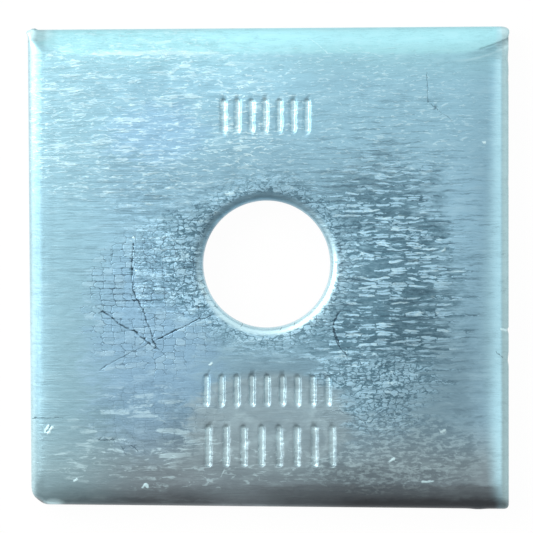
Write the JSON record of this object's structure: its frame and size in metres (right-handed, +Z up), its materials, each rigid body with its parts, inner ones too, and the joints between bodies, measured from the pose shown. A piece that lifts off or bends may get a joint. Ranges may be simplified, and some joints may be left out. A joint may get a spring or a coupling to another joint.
{
  "type": "square plate washer",
  "caption": "Square plate washer of zinc plated steel with rolled and sheared edges and a punched round hole, to spread the load of a bolt.",
  "frame": {"origin": "middle of the plate, in the plane of its underside", "axes": "+Z up through the plate, along the hole, from the underside to the drawn face; the sheared edges face along X and the bar's rolled edges along Y"},
  "size_m": [0.0764, 0.0768, 0.0063],
  "materials": {
    "zinc_plate": "bright zinc plating with a cool blue cast, over rolled scale marks and fine cracks"
  },
  "bodies": {
    "root": {"square_plate_washer": "zinc_plate"}
  },
  "joints": []
}
